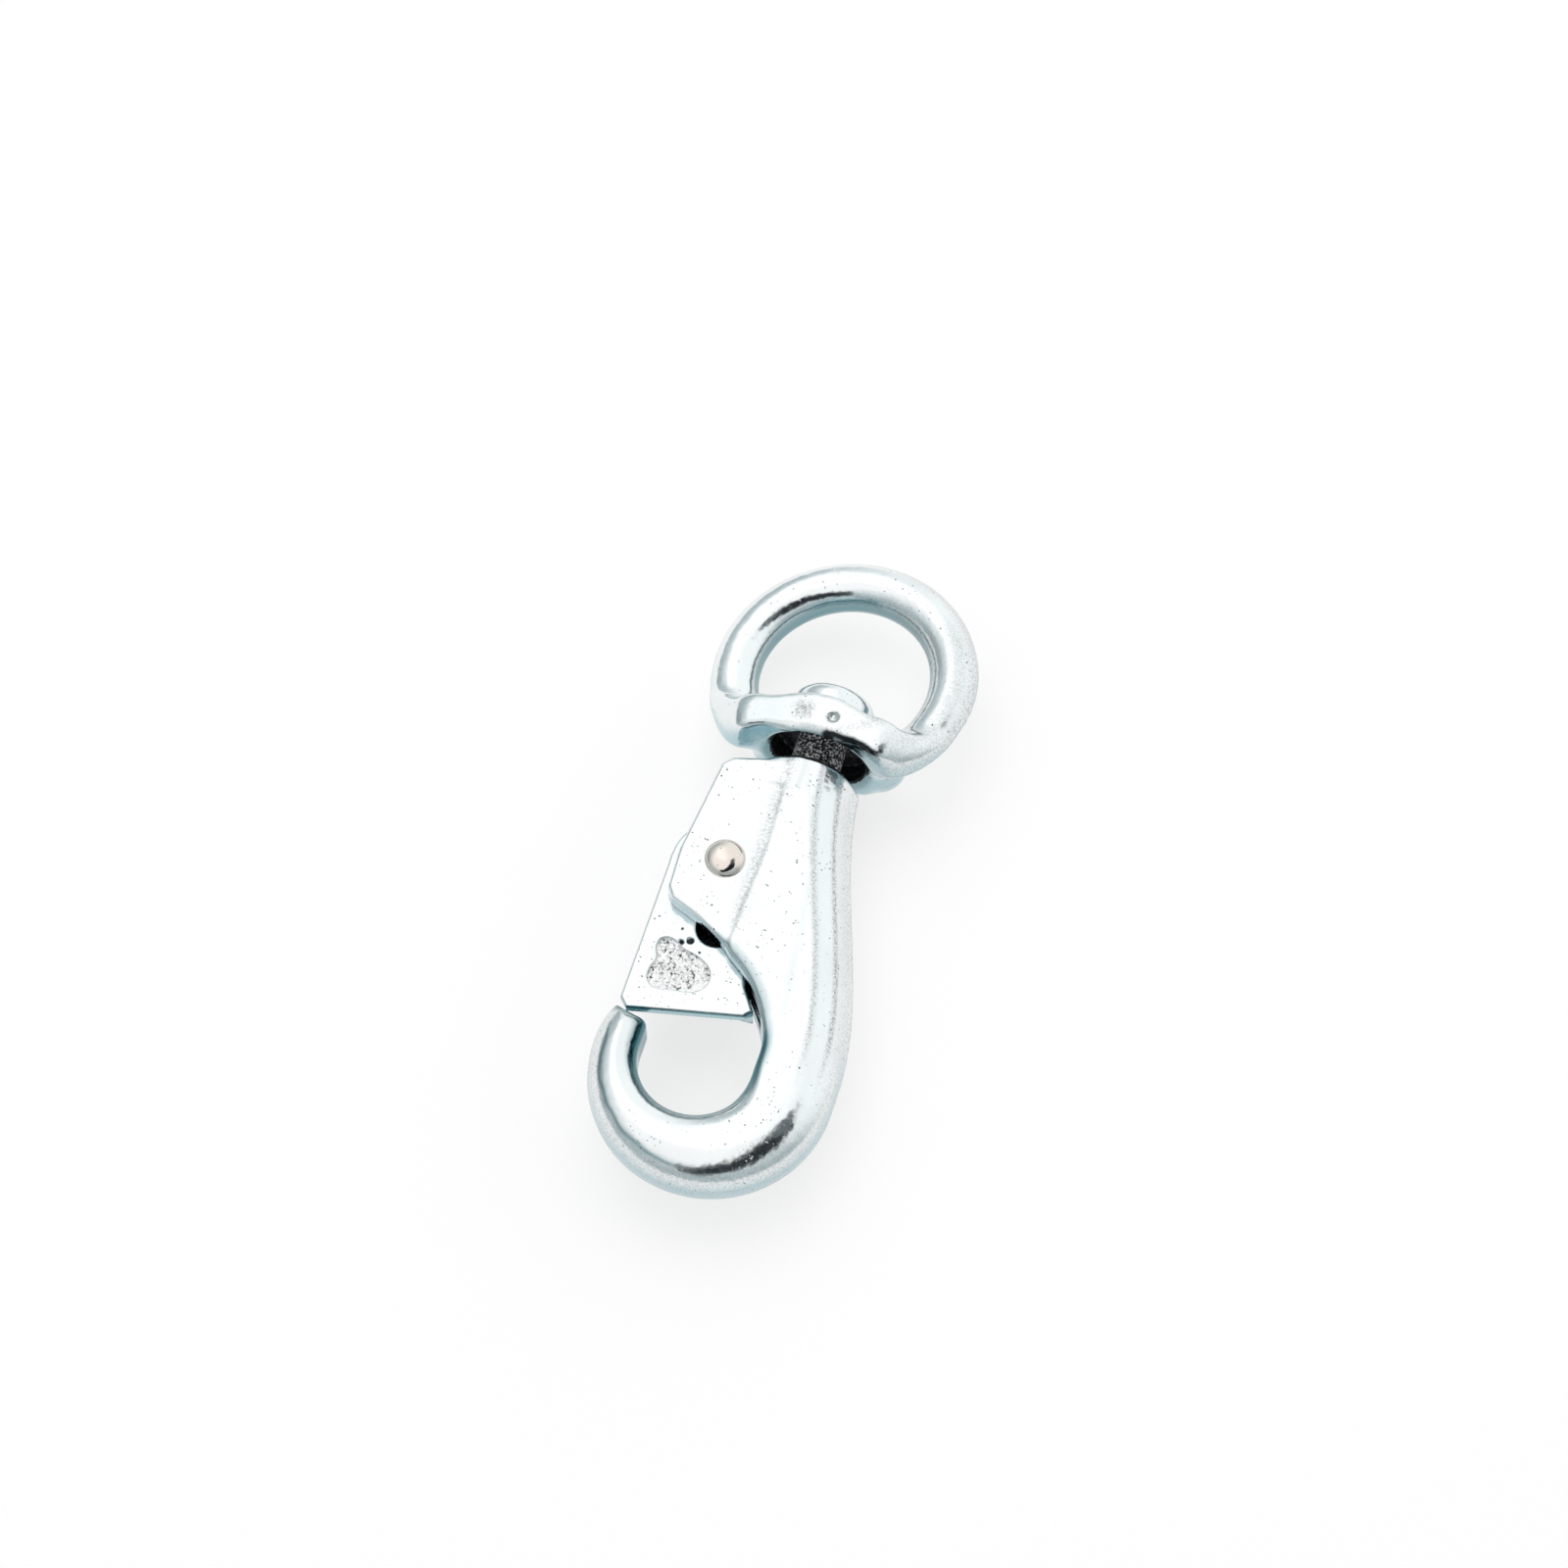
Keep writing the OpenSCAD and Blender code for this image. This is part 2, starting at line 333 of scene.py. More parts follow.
def bevelled(edge, depth, x, y):
    """Edge of the forging: two flat bevels along the column, one round along the bowl."""
    upper = (edge + bevel_inner) * 0.51 + depth * 0.86
    lower = (edge + bevel_outer) * 0.848 + (depth + bevel_drop) * 0.53
    flats = blend_cut(blend_cut(blend_cut(depth, upper, 0.35), lower, 0.5), edge, 0.3)
    steep_edge = edge * (1 - 0.25 * ease((x + 10) / 10))
    share = below(y, -42, 12)
    return flats * (1 - share) + meet(steep_edge, depth, bowl_round) * share


def mouth(x, y):
    """The opening of the hook: round seat, inner wall of the body and end face of the tip."""
    seat = np.hypot(x - seat_c[0], np.minimum(y - seat_c[1], 0)) - seat_r
    arc = disc(x, y, arc_c, arc_r)
    share = below(y, -47, 8)
    tip = blend_cut(disc(x, y, pivot, tip_reach), arc, 0.8)
    left_wall = blend_in(np.maximum(seat, y - seat_c[1] - 9), tip, 1.2)
    return np.where(x > seat_c[0], arc * (1 - share) + seat * share, left_wall)


def mouth_rounding(x, y):
    """Rounding of the mouth's edge: nearly sharp beside the gate, a round bar in the bowl."""
    right = 0.25 * below(y, -46, 8) + 0.75 * below(y, -53, 9)
    left = below(y, -42, 7)
    return seat_round + seat_extra * np.where(x > seat_c[0], right, left)


def cheeks(x, y, z):
    """The two cheeks that hold the rivet, a little lower than the column's flat."""
    plan = blend_cut(outline(x, y, CHEEKS), -disc(x, y, arc_c, arc_r), 0.8)
    return meet(plan, np.abs(z) - cheek_half, 0.8)


def shoulder(x, y, z):
    """Left half of the round shoulder under the eye."""
    neck = meet(np.hypot(x, z) - neck_r, np.abs(z) - cheek_half, 0.8)
    return np.maximum(neck, np.maximum(x + 1.5, -7 - y))


def dome(x, y, z):
    """Crowned top of the body, level beyond the shoulder."""
    reach = np.minimum(x * x + z * z, 80)
    return (y + 0.042 * reach) / np.sqrt(1 + 0.007 * reach)


def body_field(x, y, z):
    """The forging: outline, bevels and mouth, cheeks and shoulder, then the slot and the bores."""
    depth = np.abs(z) - body_half
    seam = 0.1 * band(z, 0.45)
    main = bevelled(body_outline(x, y) + 0.1 - seam, depth, x, y)
    left = np.maximum(x - crease_x - 0.7 * band(y + 19, 9), -40 - y)
    main = blend_cut(main, meet(-mouth(x, y), depth, mouth_rounding(x, y)), 0.3)
    main = blend_cut(main, -left, 1.2)
    body = blend_in(main, cheeks(x, y, z), 0.9)
    body = blend_in(body, shoulder(x, y, z), 1.5)
    body = meet(body, dome(x, y, z), 0.6)
    body = blend_cut(body, -np.maximum(slot_plan(x, y), np.abs(z) - slot_half), 0.5)
    body = np.maximum(body, -leg_pocket(x, y, z))
    body = np.maximum(body, -np.maximum(np.hypot(x, z) - stud_r, -stud_tail - y))
    return np.maximum(body, -disc(x, y, pivot, rivet_r))


def turned(x, y, degrees):
    """Coordinates about the rivet, turned back by some degrees."""
    a = math.radians(degrees)
    px, py = x - pivot[0], y - pivot[1]
    return px * math.cos(a) + py * math.sin(a), py * math.cos(a) - px * math.sin(a)


def slot_plan(x, y):
    """Room the gate swings in, seen from the front."""
    swept = None
    for k in range(5):
        px, py = turned(x, y, (opening + overswing) * k / 4)
        room = outline(px, py, SLOT)
        swept = room if swept is None else np.minimum(swept, room)
    swept = np.maximum(swept, disc(x, y, pivot, slot_reach))
    return np.minimum(swept, disc(x, y, pivot, gate_top_r + swing_gap))


def leg_pocket(x, y, z):
    """Room in the slot's back wall for the end of the spring's long leg as the gate opens."""
    plan = np.maximum(disc(x, y, pivot, leg_reach), np.abs(y - pivot[1]) - leg_sweep)
    return np.maximum(np.maximum(plan, pivot[0] - x), np.maximum(-slot_half - z, z - leg_front))


# --- The gate -------------------------------------------------------------------------------------
def gate_field(x, y, z):
    """The gate's plate, with its hole, hollow and pits, and the room for the rivet and spring."""
    px, py = x - pivot[0], y - pivot[1]
    plan = blend_in(outline(px, py, GATE), np.hypot(px, py) - gate_top_r, 0.3)
    undercut = (plan + 1.0 - z) * 0.7
    gate = meet(np.where(py < -22, np.maximum(plan, undercut), plan), np.abs(z) - gate_half, 0.5)
    hole = np.maximum(disc(x, y, hole_c, hole_r), gate_half - hole_depth - z)
    gate = blend_cut(gate, -hole, 0.35)
    gate = blend_cut(gate, -recess_room(x, y, z), 0.25)
    for (cx, cy), r in GATE_PITS:
        gate = blend_cut(gate, -ball(x, y, z, (cx, cy, gate_half + 0.1), r), 0.15)
    gate = np.maximum(gate, -(np.hypot(px, py) - rivet_r - rivet_play))
    return np.maximum(gate, -spring_room(px, py, z))


def recess_plan(x, y):
    """Outline of the lobed hollow on the gate's face."""
    (centre, r), *lobes = RECESS
    recess = disc(x, y, centre, r)
    for centre, r in lobes:
        recess = blend_in(recess, disc(x, y, centre, r), 2.2)
    return recess


def recess_room(x, y, z):
    """The hollow itself, with a floor of rough cast skin."""
    recess = recess_plan(x, y)
    grain = 0.2 * rough(x, y, z + 5, 0.42) + 0.1 * rough(x, y, z, 0.9)
    floor = gate_half - recess_depth + np.where(recess < 0.4, grain, 0)
    return np.maximum(recess, floor - z)


def spring_room(px, py, z):
    """Pockets in the gate's back: for the coil, for the leg it carries, for the leg in the body."""
    coil = np.hypot(px, py) - coil_room_r
    groove = np.maximum(np.abs(px - groove_x) - groove_half, np.maximum(py, groove_end - py))
    carried = np.maximum(np.minimum(coil, groove), z - coil_front)
    window = np.maximum(outline(px, py, window_corners()), z - window_front)
    return np.minimum(carried, window)


def window_corners():
    """Corners of the gap in the gate's back that clears the spring's fixed leg."""
    c, s = math.cos(math.radians(opening)), math.sin(math.radians(opening))
    reach, top, low = window_reach, window_top, window_low
    return [(0, top), (reach, top), (reach * c + low * s, low * c - reach * s), (low * s, low * c)]


# --- The eye --------------------------------------------------------------------------------------
def eye_frame(x, z):
    """Coordinates across the eye and through it, with its rest turn taken off."""
    c, s = math.cos(eye_turn), math.sin(eye_turn)
    return x * c + z * s, z * c - x * s


def boss_underside(x, z):
    """Height of the boss's underside: arched over the cup, drooping at its ends, trimmed behind."""
    side, front = np.abs(x), ease((z + 3) / 6)
    arch = 0.85 * np.maximum(np.abs(z) - cup_r, 0) * (1 - ease(side / 9))
    droop = 1.8 * front * ease((side - 7) / 6)
    trim = 0.22 * (1 - front) * np.maximum(side - 9.5, 0) ** 2
    return boss_low - 0.1 + arch - droop + trim


def boss_field(x, y, z, outer):
    """The block across the foot of the ring, with a sloping top and tapered ends."""
    side = np.abs(x)
    top = y - (boss_top - 2.1 * ease((side - 1) / 8.5) - 0.5 * ease((side - 9) / 5))
    faces = np.abs(z) - boss_half
    taper = (np.abs(z) * 0.745 + side * 0.667) - (boss_half * 0.745 + boss_end * 0.667)
    return blend_cut(blend_cut(blend_cut(top, taper, 1.8), faces, 1.4), outer, 3.0)


def cup_room(y, radius):
    """The hollow under the boss, with a bevelled rim, and the stud's bore above it."""
    cup = np.maximum(radius - cup_r + 0.5, y - boss_low - cup_depth)
    rim = np.maximum((radius - cup_r - (boss_low + 0.3 - y)) * 0.7, y - boss_low - 1)
    bore = np.maximum(radius - stud_r - stud_play, y - boss_top - 6)
    return np.minimum(cup, rim), bore


def eye_field(x, y, z):
    """Ring and boss in one, with the cup, the stud's bore and the dent."""
    x, z = eye_frame(x, z)
    radius, round_ring = np.hypot(x, z), np.hypot(x, y - ring_y)
    front = ease((z + 3) / 6)
    ring = np.hypot(round_ring - ring_r, z) - bar_r + 0.02
    outer = np.hypot(round_ring, (1 - 0.2 * front) * z) - ring_r - bar_r - 0.25
    pad = meet(radius - head_r + 0.2, np.maximum(y - boss_top, 4 - y), 0.4)
    eye = blend_in(blend_in(ring, boss_field(x, y, z, outer), 4.0), pad, 0.6)
    under = (boss_underside(x, z) - y) * 0.85
    softness = 1.2 + 3.0 * (1 - front) * ease((np.abs(x) - 6) / 4)
    eye = blend_cut(blend_cut(eye, outer + 0.2, 0.4), under, softness)
    cup, bore = cup_room(y, radius)
    eye = np.maximum(blend_cut(eye, -cup, 0.3), -bore)
    dent = np.abs(ball(x, y, z, (*dent_c, boss_half + 0.2), dent_r)) - 0.22
    return blend_cut(eye, -dent, 0.15)


# --- Materials ------------------------------------------------------------------------------------
def grey(value):
    return (value, value, value)


BLACK, WHITE = grey(0), grey(1)
PAINTED_SHADE_TEAL = (0.05, 0.19, 0.22)               # painted shade in deep corners and painted dark reflections on edges, in the plating's teal
RUBBED = (0.48, 0.49, 0.49)                   # plating worn thin on the edges
RUBBED_DOT = (0.2, 0.21, 0.215)               # stipple inside the worn places
PAINTED_REFLECTION_BLACK = (0.02, 0.023, 0.026)                  # painted black reflection streak on the boss
PIT = (0.05, 0.055, 0.06)                     # floor of a pit in the plating


def node(tree, kind, **values):
    """A new node; each value is one of its settings or, failing that, one of its inputs."""
    made = tree.nodes.new(kind)
    for key, value in values.items():
        if hasattr(made, key):
            setattr(made, key, value)
        else:
            made.inputs[key.replace("_", " ")].default_value = value
    return made


def ramp(tree, factor, stops):
    """Colour that follows a factor through stops of (place, colour)."""
    made = tree.nodes.new("ShaderNodeValToRGB")
    tree.links.new(factor, made.inputs["Fac"])
    elements = made.color_ramp.elements
    while len(elements) < len(stops):
        elements.new(0.5)
    for element, (at, colour) in zip(elements, stops):
        element.position = at
        element.color = (*colour, 1)
    return made.outputs["Color"]


def noise(tree, place, per_mm, detail=3.0, roughness=0.55):
    """Noise with the given number of lumps to the millimetre."""
    made = node(tree, "ShaderNodeTexNoise", Scale=per_mm / MM, Detail=detail, Roughness=roughness)
    tree.links.new(place, made.inputs["Vector"])
    return made.outputs["Fac"]


def stored(tree, name):
    """The number that mark() stored for each point."""
    return node(tree, "ShaderNodeAttribute", attribute_name=name).outputs["Fac"]


def blended(tree, factor, first, second):
    """Colour between two colours; each may be a socket or a value."""
    mix = node(tree, "ShaderNodeMix", data_type="RGBA")
    tree.links.new(factor, mix.inputs["Factor"])
    for key, value in (("A", first), ("B", second)):
        if isinstance(value, tuple):
            mix.inputs[key].default_value = (*value, 1)
        else:
            tree.links.new(value, mix.inputs[key])
    return mix.outputs["Result"]


def relief(tree, height, depth, below=None):
    """Bump of the given depth in millimetres, laid over the normal below it."""
    bump = node(tree, "ShaderNodeBump", Strength=1.0, Distance=depth * MM)
    tree.links.new(height, bump.inputs["Height"])
    if below is not None:
        tree.links.new(below, bump.inputs["Normal"])
    return bump.outputs["Normal"]


def scaled(tree, first, second, plus=0.0):
    """First times second plus a third; the second and third may be sockets or numbers."""
    math_node = node(tree, "ShaderNodeMath", operation="MULTIPLY_ADD")
    tree.links.new(first, math_node.inputs[0])
    for slot, value in ((1, second), (2, plus)):
        if isinstance(value, float):
            math_node.inputs[slot].default_value = value
        else:
            tree.links.new(value, math_node.inputs[slot])
    return math_node.outputs[0]


def started(name, metallic):
    """A new material with its node tree, its shader and its texture coordinates."""
    material = bpy.data.materials.new(name)
    material.use_nodes = True
    tree = material.node_tree
    shader = tree.nodes["Principled BSDF"]
    shader.inputs["Metallic"].default_value = metallic
    return material, tree, shader, tree.nodes.new("ShaderNodeTexCoord")


def steepness(tree, normal):
    """One where the surface stands on edge, nothing where it lies flat."""
    split = tree.nodes.new("ShaderNodeSeparateXYZ")
    tree.links.new(normal, split.inputs[0])
    facing = node(tree, "ShaderNodeMath", operation="ABSOLUTE")
    tree.links.new(split.outputs["Z"], facing.inputs[0])
    return ramp(tree, facing.outputs[0], [(0.0, WHITE), (0.3, grey(0.35)), (0.55, BLACK)])


def plating_colour(tree, place, steep, face, side):
    """Cloudy face colour, side colour on steep sides as painted shade over the plating's teal tint,
    and the marks that each piece stores, painted shade and reflections among them.
    """
    cloud = noise(tree, place, 0.12, 4)
    duller = tuple(0.95 * value for value in face)
    # Steep sides take the side colour: painted shade over the plating's own teal tint.
    base = blended(tree, steep, ramp(tree, cloud, [(0.35, face), (0.65, duller)]), side)
    # Painted shade: teal darkening in deep corners and painted dark reflections along edges.
    base = blended(tree, stored(tree, "painted_shade"), base, PAINTED_SHADE_TEAL)
    rubbed = stored(tree, "wear")
    stipple = ramp(tree, noise(tree, place, 2.8, 2), [(0.42, BLACK), (0.62, WHITE)])
    base = blended(tree, scaled(tree, rubbed, 0.45), base, RUBBED)
    base = blended(tree, scaled(tree, rubbed, stipple), base, RUBBED_DOT)
    # Painted black reflection streak.
    return blended(tree, stored(tree, "painted_dark_reflection"), base, PAINTED_REFLECTION_BLACK)


def plated(name, face, side, gloss, grain=0.009, pits=0.712):
    """Plating over a forging: teal tint and painted shade on the sides, cloudy, finely grained, with
    dark pits.

    Gloss is the roughness where it is smoothest and dullest; fewer pits show as pits rises.
    """
    material, tree, shader, coordinates = started(name, metallic=1.0)
    place = coordinates.outputs["Object"]
    steep = steepness(tree, coordinates.outputs["Normal"])
    base = plating_colour(tree, place, steep, face, side)
    dots = noise(tree, place, 2.0, 1.5, 0.5)
    crowd = scaled(tree, noise(tree, place, 0.16, 2), 0.25, dots)
    pit = ramp(tree, crowd, [(pits + 0.16, BLACK), (pits + 0.2, WHITE)])
    tree.links.new(blended(tree, pit, base, PIT), shader.inputs["Base Color"])
    fine = noise(tree, place, 2.4, 3)
    smoothest, dullest = gloss
    polish = ramp(tree, fine, [(0.3, grey(smoothest)), (0.75, grey(dullest))])
    roughness = scaled(tree, stored(tree, "wear"), 0.25, polish)
    tree.links.new(roughness, shader.inputs["Roughness"])
    normal = relief(tree, noise(tree, place, 0.3, 2), 0.12)
    normal = relief(tree, fine, grain, normal)
    hollow = ramp(tree, crowd, [(pits + 0.12, WHITE), (pits + 0.2, BLACK)])
    tree.links.new(relief(tree, hollow, 0.08, normal), shader.inputs["Normal"])
    return material


def stippled(name, light, dark, per_mm, share):
    """Bare cast skin: matt, light with dark dots; share is how much of it is dark."""
    material, tree, shader, coordinates = started(name, metallic=0.8)
    dots = noise(tree, coordinates.outputs["Object"], per_mm, 2.5, 0.6)
    base = ramp(tree, dots, [(share - 0.05, dark), (share + 0.06, light)])
    tree.links.new(base, shader.inputs["Base Color"])
    polish = ramp(tree, dots, [(0.3, grey(0.6)), (0.7, grey(0.35))])
    tree.links.new(polish, shader.inputs["Roughness"])
    tree.links.new(relief(tree, dots, 0.15), shader.inputs["Normal"])
    return material


# Each plating's second colour is its side colour: painted shade on steep sides, and for zinc also its
# teal tint.
zinc = plated("zinc_plate", (0.86, 0.885, 0.89), (0.43, 0.60, 0.65), (0.11, 0.2))
nickel = plated("polished_nickel", (0.82, 0.74, 0.68), (0.74, 0.67, 0.62), (0.08, 0.12), 0.001, 0.75)
spring_steel = plated("spring_steel", (0.32, 0.33, 0.34), (0.2, 0.2, 0.21), (0.3, 0.45))
cast_skin = stippled("cast_skin", (0.93, 0.93, 0.92), (0.05, 0.05, 0.05), 2.0, 0.395)
dark_skin = stippled("dark_skin", (0.5, 0.49, 0.48), (0.012, 0.012, 0.013), 2.6, 0.54)
# Near-black painted shadow with a cast skin's stipple, for the eye's cup and the gate's hole and pits.
painted_shadow_skin = stippled("shadowed_skin", (0.05, 0.055, 0.06), (0.01, 0.01, 0.012), 1.5, 0.5)


def paint(made, material, chosen):
    """Gives another material to the faces whose centre, in hook-frame millimetres, is chosen."""
    made.data.materials.append(material)
    slot = len(made.data.materials) - 1
    for polygon in made.data.polygons:
        if chosen(*((polygon.center - origin) / MM)):
            polygon.material_index = slot


# --- Pieces ---------------------------------------------------------------------------------------
def add_body():
    low = (body_low[0], body_low[1], -grid_half)
    high = (body_high[0], grid_top, grid_half)
    points, faces = surface(body_field, low, high, mesh_step)
    made = piece("forged_hook_body", points, faces, zinc)
    x, y, z = points.T
    front = ease(np.abs(z) - 3)
    mark(made, "wear", body_wear(x, y, front))
    # Painted shade on the seat's wall and a painted dark reflection line along the bowl.
    mark(made, "painted_shade", body_painted_shade(x, y, z, front))
    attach(made, "hook")
    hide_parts("hook_body")


def body_wear(x, y, front):
    """Rubbed lines: the column's left edge, its two bevels, and faintly the whole outer edge."""
    edge = body_outline(x, y)
    left = 0.4 * band(x - crease_x, 1.0) * ease((y + 35) / 2) * below(y, 0, 3)
    bevels = 0.55 * band(edge + bevel_inner, 0.45) + 0.7 * band(edge + bevel_outer, 0.4)
    right = bevels * ease((y + 58) / 14)
    return np.maximum(front * (left + right), 0.24 * band(edge + 0.5, 1.6))


def body_painted_shade(x, y, z, front):
    """Painted shade and reflection in teal: painted shade on the wall of the seat, and a painted dark
    reflection line along the bowl, just inside its edge.
    """
    wavering = body_outline(x, y) + 2.3 + 0.4 * rough(x, y, z, 3.0)
    reflection_line = band(wavering, 0.28) * below(y, -50, 6) * ease((4 - x) / 6)
    seat_wall = ease(1.2 - mouth(x, y) / 1.8) * (0.5 + 0.5 * below(y, -46, 5))
    return np.maximum(seat_wall, 0.7 * front * reflection_line)


def add_gate():
    points, faces = surface(gate_field, gate_low, gate_high, fine_step)
    made = piece("forged_gate", points, faces, zinc)
    # Painted dark reflection along the rounding of the gate's front and back edges.
    mark(made, "painted_shade", band(np.abs(points[:, 2]) - gate_half + 0.42, 0.2))
    paint(made, cast_skin, in_recess)
    # Painted shadow in the gate's hole and pits.
    paint(made, painted_shadow_skin, in_hole)
    paint(made, painted_shadow_skin, in_pit)
    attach(made, "gate")
    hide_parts("gate")


def in_recess(x, y, z):
    return recess_plan(x, y) < 0.1 and 0 < z < gate_half - 0.15


def in_hole(x, y, z):
    floor = gate_half - hole_depth
    return disc(x, y, hole_c, hole_r) < 0.05 and floor - 0.1 < z < gate_half - 0.1


def in_pit(x, y, z):
    return z > 0 and any(disc(x, y, centre, r * 0.75) < 0 for centre, r in GATE_PITS)


def add_eye():
    low = eye_low - (0, droop_room, 0)
    points, faces = surface(eye_field, low, eye_high, mesh_step)
    made = piece("forged_eye", points, faces, zinc)
    x, z = eye_frame(points[:, 0], points[:, 2])
    y = points[:, 1]
    rim = disc(x, y, (0, ring_y), ring_r)
    facet = z > boss_half - 0.8
    # Painted black reflection streak along the boss's lower edge.
    mark(made, "painted_dark_reflection", painted_reflection_streak(x, y, z))
    mark(made, "wear", eye_wear(x, y, rim, facet))
    # Painted shade on the cup's rim, inside the ring and at the facet's left end.
    mark(made, "painted_shade", eye_painted_shade(x, y, z, rim, facet))
    # Painted shadow in the cup under the boss.
    paint(made, painted_shadow_skin, in_cup)
    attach(made, "eye")
    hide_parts("swivel_eye")


def painted_reflection_streak(x, y, z):
    """Painted black reflection streak along the lower right edge of the boss's front face."""
    line = band(y - boss_underside(x, z) - 0.15 - 0.015 * x, 0.33)
    ragged = 1.3 + 0.7 * rough(x, y, z, 0.7)
    ends = ease(x - 1.4) * ease(13 - x)
    return ease(ragged * line * ease((z - boss_half + 1.5) / 0.4) * ends)


def eye_wear(x, y, rim, facet):
    """Rubbed places: the ring's rims, specks down its right side, the dent and the scuff."""
    rubbed = 0.35 * band(np.abs(rim) - 3.6, 1.2) * ease(0.5 + x / 20)
    speckled = 0.24 * band(rim - 1, 1.8) * ease((x - 8) / 6) * below(y, 32, 8)
    dent = 0.7 * band(disc(x, y, dent_c, dent_r + 0.05), 0.35)
    scuff = 0.8 * band(disc(x, y, scuff_c, 0), 1.7)
    return np.maximum(np.maximum(rubbed, speckled), (dent + scuff) * facet)


def eye_painted_shade(x, y, z, rim, facet):
    """Painted shade in teal: the cup's rim, a dark line inside the ring, and the facet's left end."""
    cup_rim = 0.7 * ease(1 - (np.hypot(x, z) - cup_r) / 1.5) * (y < boss_low + 1.5)
    bore = 0.7 * band(rim + 3.9, 0.6) * (y > boss_top)
    return np.maximum(np.maximum(cup_rim, bore), 0.16 * facet * ease((-1 - x) / 6))


def in_cup(x, y, z):
    return 0.5 < y - boss_low < cup_depth + 0.3 and math.hypot(x, z) < cup_r - 0.2


def arc_points(centre, r, degrees):
    """Points of (radius, height) on an arc; 0 degrees points outward and 90 upward."""
    turns = [math.radians(a) for a in degrees]
    return [(centre[0] + r * math.cos(a), centre[1] + r * math.sin(a)) for a in turns]


def add_stud():
    under = boss_top + head_gap
    top = under + head_h
    low_arc = (head_r - head_low_round, under + head_low_round)
    top_arc = (head_r - head_round, top - head_round)
    profile = [(0, -stud_tail), (stud_r - stud_chamfer, -stud_tail)]
    profile += [(stud_r, stud_chamfer - stud_tail), (stud_r, under)]
    profile += arc_points(low_arc, head_low_round, range(-90, 1, 6))
    profile += arc_points(top_arc, head_round, range(0, 91, 6))
    points, faces = lathe(profile + [(0, top)], steps=96)
    made = piece("button_stud", points, faces, zinc)
    paint(made, dark_skin, lambda x, y, z: y < under - 0.01)
    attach(made, "hook")
    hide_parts("swivel_stud")


def add_rivet():
    """Shank and domed head of one side, then the same for the other side."""
    arc = [math.radians(a) for a in range(90, -1, -5)]
    cap = [(rivet_head_r * math.sin(a), cheek_half + rivet_head_h * math.cos(a)) for a in arc]
    half, half_faces = lathe([(rivet_r, 0), (rivet_r, cheek_half)] + cap, steps=72)
    points, faces = [], []
    for side in (1, -1):
        faces += [[i + len(points) for i in face] for face in half_faces]
        points += [(pivot[0] + px, pivot[1] + pz * side, h * side) for px, h, pz in half]
    made = piece("domed_rivet", points, faces, nickel)
    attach(made, "hook")
    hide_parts("gate_rivet")


def plate_spring():
    """The spring keeps its CAD shape and gets a finished material."""
    materials = frame["nodes"]["gate_spring"].data.materials
    materials.clear()
    materials.append(spring_steel)


add_body()
add_gate()
add_eye()
add_stud()
add_rivet()
plate_spring()


# --- Floor, light and camera ----------------------------------------------------------------------
floor_half = 12.0                             # metres, so wide that its edge stays far off
floor_colour = (0.31, 0.305, 0.30)
floor_glow = 0.67                             # the floor's own white light, which evens it out

lamp_place = Vector((-0.2, 0.35, 0.85))       # metres from the row's origin, which it points at
lamp_size, lamp_power = 0.8, 2.25

world_strength = 1.1
SKY = [(0.0, (0.40, 0.47, 0.49)), (0.35, (0.46, 0.53, 0.55)), (0.6, (0.72, 0.77, 0.78)), (0.8, WHITE)]

# Patches of the surroundings: azimuth, height, inner and outer angle in degrees, and colour.
DARK = (0.01, 0.015, 0.02)
SURROUNDINGS = [
    (115, 63, 13, 36, grey(1.22)),            # glow round the lamp
    (55, 22, 30, 70, (0.95, 0.98, 0.98)),     # pale side of the room
    (178, 2, 8, 28, (0.32, 0.37, 0.385)),     # dimmer side, low on the left
    (-84, 33, 8, 15, (0.03, 0.035, 0.04)),    # a long dark shape, as a chain of spots
    (-66, 40, 9, 15, DARK),
    (-48, 46, 10, 16, DARK),
    (-30, 51, 11, 17, DARK),
    (-12, 56, 9, 15, DARK),
    (8, 62, 6, 12, (0.1, 0.12, 0.13)),
]

camera_aim = Vector((-5.3, 0.5, -10))         # middle of the view, in hook-frame millimetres
camera_azimuth, camera_height = 17.3, 63      # degrees right of the hook's axis, and above the floor
camera_distance = 0.577                       # metres
sensor_width = 36                             # millimetres
focal_ratio = 2.255                           # focal length over the width of the frame


def add_floor():
    corners = [(-floor_half, -floor_half, 0), (floor_half, -floor_half, 0)]
    corners += [(floor_half, floor_half, 0), (-floor_half, floor_half, 0)]
    mesh = bpy.data.meshes.new("floor")
    mesh.from_pydata(corners, [], [(0, 1, 2, 3)])
    floor = bpy.data.objects.new("floor", mesh)
    material = bpy.data.materials.new("pale_floor")
    material.use_nodes = True
    shader = material.node_tree.nodes["Principled BSDF"]
    shader.inputs["Base Color"].default_value = (*floor_colour, 1)
    shader.inputs["Roughness"].default_value = 0.9
    shader.inputs["Emission Color"].default_value = (*WHITE, 1)
    shader.inputs["Emission Strength"].default_value = floor_glow
    mesh.materials.append(material)
    bpy.context.scene.collection.objects.link(floor)


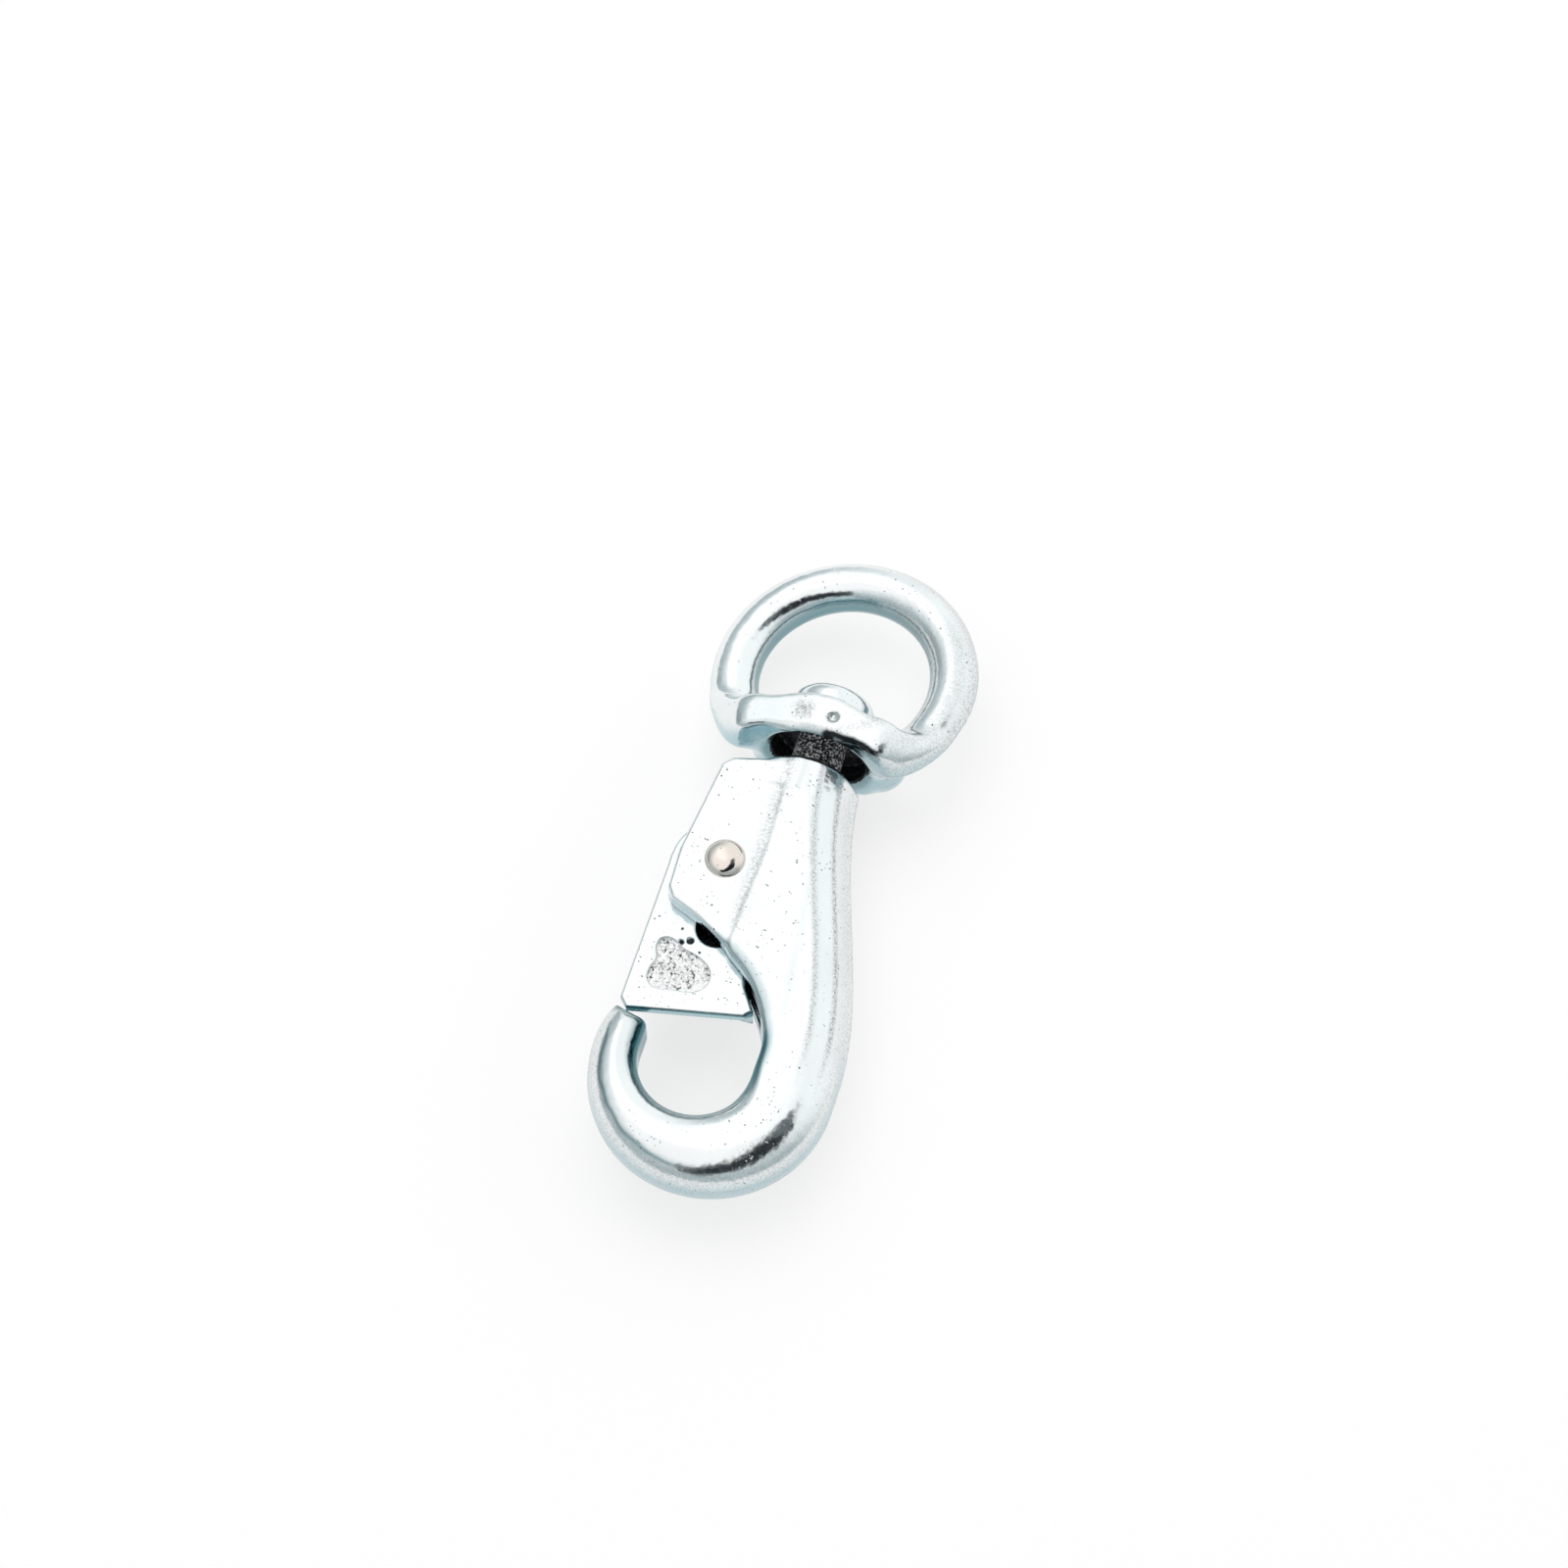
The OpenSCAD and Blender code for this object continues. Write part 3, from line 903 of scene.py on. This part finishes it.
def add_lamp():
    """One large soft lamp; the plating mirrors the world's glow instead of the lamp's hard square."""
    light = bpy.data.lights.new("top", "AREA")
    light.size = lamp_size
    light.energy = lamp_power
    lamp = bpy.data.objects.new("top", light)
    lamp.location = lamp_place
    lamp.rotation_euler = (-lamp_place).to_track_quat("-Z", "Y").to_euler()
    lamp.visible_glossy = False
    bpy.context.scene.collection.objects.link(lamp)


def towards(azimuth, height):
    """Unit vector for a direction given in degrees."""
    a, h = math.radians(azimuth), math.radians(height)
    return Vector((math.cos(a) * math.cos(h), math.sin(a) * math.cos(h), math.sin(h)))


def patched(tree, direction, sky, patch):
    """The sky's colour with one soft round patch laid over it."""
    azimuth, height, core, edge, colour = patch
    near = node(tree, "ShaderNodeVectorMath", operation="DOT_PRODUCT")
    tree.links.new(direction, near.inputs[0])
    near.inputs[1].default_value = towards(azimuth, height)
    share = node(tree, "ShaderNodeMapRange", interpolation_type="SMOOTHSTEP")
    tree.links.new(near.outputs["Value"], share.inputs["Value"])
    share.inputs["From Min"].default_value = math.cos(math.radians(edge))
    share.inputs["From Max"].default_value = math.cos(math.radians(core))
    return blended(tree, share.outputs["Result"], sky, colour)


def add_world():
    """Soft studio surroundings: bright above, blue-grey low down, with bright and dark patches."""
    world = bpy.data.worlds.new("studio")
    world.use_nodes = True
    bpy.context.scene.world = world
    tree = world.node_tree
    direction = tree.nodes.new("ShaderNodeTexCoord").outputs["Generated"]
    split = tree.nodes.new("ShaderNodeSeparateXYZ")
    tree.links.new(direction, split.inputs[0])
    sky = ramp(tree, split.outputs["Z"], SKY)
    for patch in SURROUNDINGS:
        sky = patched(tree, direction, sky, patch)
    background = tree.nodes["Background"]
    tree.links.new(sky, background.inputs["Color"])
    background.inputs["Strength"].default_value = world_strength


def add_camera():
    back = towards(camera_azimuth - 90, camera_height)
    data = bpy.data.cameras.new("camera")
    data.sensor_width = sensor_width
    data.lens = sensor_width * focal_ratio
    camera = bpy.data.objects.new("camera", data)
    camera.location = origin + camera_aim * MM + back * camera_distance
    camera.rotation_euler = (-back).to_track_quat("-Z", "Y").to_euler()
    bpy.context.scene.collection.objects.link(camera)
    bpy.context.scene.camera = camera


add_floor()
add_world()
add_lamp()
add_camera()
bpy.context.scene.view_settings.view_transform = "Standard"
